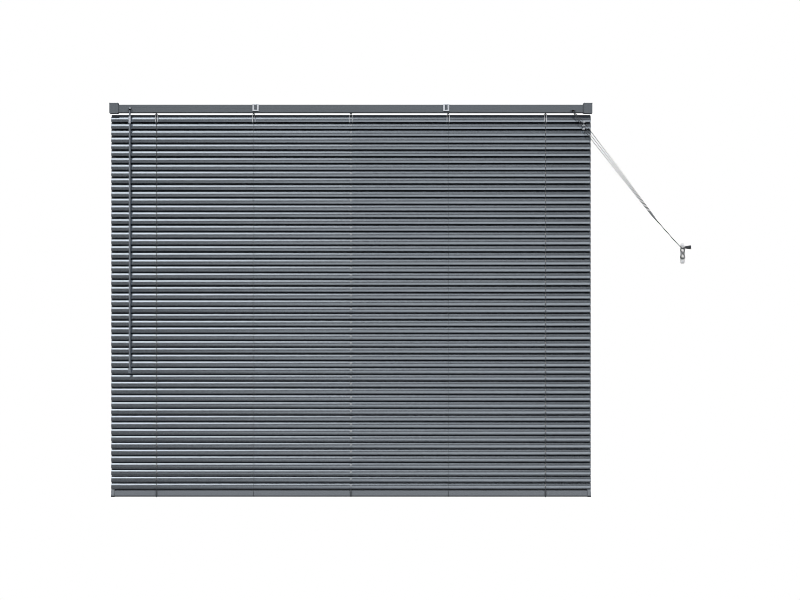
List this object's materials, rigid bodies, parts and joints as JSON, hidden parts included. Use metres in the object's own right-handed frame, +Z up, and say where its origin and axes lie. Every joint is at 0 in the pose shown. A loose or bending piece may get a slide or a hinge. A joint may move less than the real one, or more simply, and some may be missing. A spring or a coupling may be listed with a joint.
{
  "type": "venetian blind",
  "caption": "Aluminium venetian blind, lowered and closed, with a grey head rail in box brackets, a tilt wand, lift cords, a cord lock and a wall cleat.",
  "frame": {"origin": "on the wall plane, midway between the end brackets, level with their wall screws", "axes": "+X right along the blind as seen from the room, +Y into the wall, +Z up"},
  "size_m": [1.9287, 0.0402, 1.3074],
  "materials": {
    "rail_paint": "satin",
    "support_paint": "satin",
    "slat_metal": "satin",
    "bottom_rail_paint": "satin",
    "grey_plastic": "matte",
    "wand_plastic": "gloss",
    "nylon": "matte",
    "zinc_steel": "satin",
    "brass": "satin",
    "cord": "matte",
    "dark_plastic": "matte",
    "white_plastic": "gloss"
  },
  "bodies": {
    "head": {"head_rail": "rail_paint", "box_bracket_left": "rail_paint", "box_bracket_right": "rail_paint", "centre_support_left": "support_paint", "centre_support_right": "support_paint", "slats": "slat_metal", "rail_plug_left": "grey_plastic", "rail_plug_right": "grey_plastic", "tilter_housing": "nylon", "cord_lock_housing": "nylon", "ladder_cradle_1": "nylon", "ladder_cradle_2": "nylon", "ladder_cradle_3": "nylon", "ladder_cradle_4": "nylon", "ladder_cradle_5": "nylon", "cleat_screws": "zinc_steel", "pull_cord": "cord", "cord_figure_eight": "cord", "ladder_1": "cord", "ladder_2": "cord", "ladder_3": "cord", "ladder_4": "cord", "ladder_5": "cord", "lift_cord_1": "cord", "lift_cord_2": "cord", "lift_cord_3": "cord", "pull_strand_1": "cord", "pull_strand_2": "cord", "pull_strand_3": "cord", "cord_connector": "dark_plastic", "cord_tassel": "dark_plastic", "cord_cleat": "white_plastic", "cord_stop_1": "white_plastic", "cord_stop_2": "white_plastic", "cord_stop_3": "white_plastic"},
    "tilt_shaft": {"tilt_rod": "zinc_steel", "tilter_wheel": "nylon", "ladder_drum_1": "nylon", "ladder_drum_2": "nylon", "ladder_drum_3": "nylon", "ladder_drum_4": "nylon", "ladder_drum_5": "nylon"},
    "tilt_worm": {"tilter_worm": "zinc_steel"},
    "wand_hanger": {"wand_connector": "nylon"},
    "wand": {"wand_sleeve": "wand_plastic", "wand_rod": "wand_plastic", "wand_tip": "wand_plastic"},
    "left_gate": {"bracket_gate_left": "rail_paint"},
    "right_gate": {"bracket_gate_right": "rail_paint"},
    "lock_roller": {"cord_lock_roller": "brass"},
    "bottom_bar": {"bottom_rail": "bottom_rail_paint", "ladder_plugs": "grey_plastic", "bottom_rail_cap_left": "grey_plastic", "bottom_rail_cap_right": "grey_plastic"}
  },
  "joints": [
    {"name": "tilt", "type": "hinge", "parent": "head", "child": "tilt_shaft", "pos_m": [0, -0.017, 0], "axis": [-1, 0, 0], "range_deg": [0, 200.1]},
    {"name": "worm_turn", "type": "hinge", "parent": "head", "child": "tilt_worm", "pos_m": [-0.732, -0.02497, 0.0046], "axis": [0, -0.5, -0.866], "range_deg": [0, 2400]},
    {"name": "wand_swing", "type": "hinge", "parent": "head", "child": "wand_hanger", "pos_m": [-0.732, -0.03347, -0.01012], "axis": [-1, 0, 0], "range_deg": [0, 60]},
    {"name": "wand_turn", "type": "hinge", "parent": "wand_hanger", "child": "wand", "pos_m": [-0.732, -0.03347, -0.01012], "axis": [0, 0, -1], "range_deg": [0, 2400]},
    {"name": "left_gate_swing", "type": "hinge", "parent": "head", "child": "left_gate", "pos_m": [-0.786, -0.031, 0.0161], "axis": [-1, 0, 0], "range_deg": [0, 100]},
    {"name": "right_gate_swing", "type": "hinge", "parent": "head", "child": "right_gate", "pos_m": [0.786, -0.031, 0.0161], "axis": [-1, 0, 0], "range_deg": [0, 100]},
    {"name": "lock_slide", "type": "slide", "parent": "head", "child": "lock_roller", "axis": [0, -1, 0], "range_m": [0, 0.003]},
    {"name": "lift", "type": "slide", "parent": "head", "child": "bottom_bar", "axis": [0, 0, 1], "range_m": [0, 1.165], "deforming": ["slats", "ladder_1", "ladder_2", "ladder_3", "ladder_4", "ladder_5", "lift_cord_1", "lift_cord_2", "lift_cord_3"]}
  ],
  "couplings": [
    {"joint": "worm_turn", "follows": "wand_turn", "ratio": 1},
    {"joint": "tilt", "follows": "wand_turn", "ratio": 0.083333}
  ]
}
